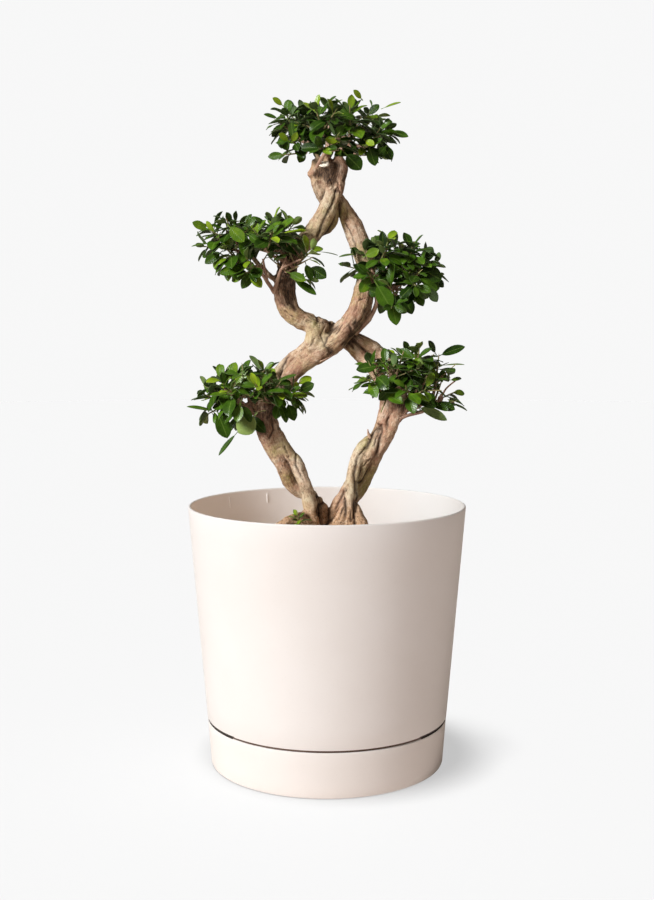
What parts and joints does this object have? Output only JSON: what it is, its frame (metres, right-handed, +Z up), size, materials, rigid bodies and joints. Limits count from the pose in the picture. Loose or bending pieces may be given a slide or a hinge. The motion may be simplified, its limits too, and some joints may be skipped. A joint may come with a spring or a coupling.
{
  "type": "potted bonsai fig tree",
  "caption": "Bonsai fig with twisted, fused stems and layered leaf pads, growing in a tapered round planter on a matching saucer.",
  "frame": {"origin": "centre of the saucer's flat underside, on the pot's axis", "axes": "+Z up along the pot's axis; the tree's front faces -Y and its width runs along X"},
  "size_m": [0.38, 0.38, 0.9131],
  "materials": {
    "planter": "matte",
    "saucer": "matte",
    "soil": "matte",
    "bark": "matte",
    "foliage": "satin"
  },
  "bodies": {
    "root": {"pot": "planter", "saucer": "saucer", "soil": "soil", "trunk": "bark", "base_sprout": "foliage", "crown_shoot_01": "foliage", "crown_shoot_02": "foliage", "crown_shoot_03": "foliage", "crown_shoot_04": "foliage", "crown_shoot_05": "foliage", "crown_shoot_06": "foliage", "crown_shoot_07": "foliage", "crown_shoot_08": "foliage", "crown_shoot_09": "foliage", "crown_shoot_10": "foliage", "crown_shoot_11": "foliage", "upper_left_shoot_01": "foliage", "upper_left_shoot_02": "foliage", "upper_left_shoot_03": "foliage", "upper_left_shoot_04": "foliage", "upper_left_shoot_05": "foliage", "upper_left_shoot_06": "foliage", "upper_left_shoot_07": "foliage", "upper_left_shoot_08": "foliage", "upper_left_shoot_09": "foliage", "upper_left_shoot_10": "foliage", "upper_right_shoot_01": "foliage", "upper_right_shoot_02": "foliage", "upper_right_shoot_03": "foliage", "upper_right_shoot_04": "foliage", "upper_right_shoot_05": "foliage", "upper_right_shoot_06": "foliage", "upper_right_shoot_07": "foliage", "upper_right_shoot_08": "foliage", "upper_right_shoot_09": "foliage", "upper_right_shoot_10": "foliage", "lower_left_shoot_01": "foliage", "lower_left_shoot_02": "foliage", "lower_left_shoot_03": "foliage", "lower_left_shoot_04": "foliage", "lower_left_shoot_05": "foliage", "lower_left_shoot_06": "foliage", "lower_left_shoot_07": "foliage", "lower_left_shoot_08": "foliage", "lower_left_shoot_09": "foliage", "lower_left_shoot_10": "foliage", "lower_right_shoot_01": "foliage", "lower_right_shoot_02": "foliage", "lower_right_shoot_03": "foliage", "lower_right_shoot_04": "foliage", "lower_right_shoot_05": "foliage", "lower_right_shoot_06": "foliage", "lower_right_shoot_07": "foliage", "lower_right_shoot_08": "foliage", "lower_right_shoot_09": "foliage", "lower_right_shoot_10": "foliage", "lower_right_shoot_11": "foliage"}
  },
  "joints": []
}
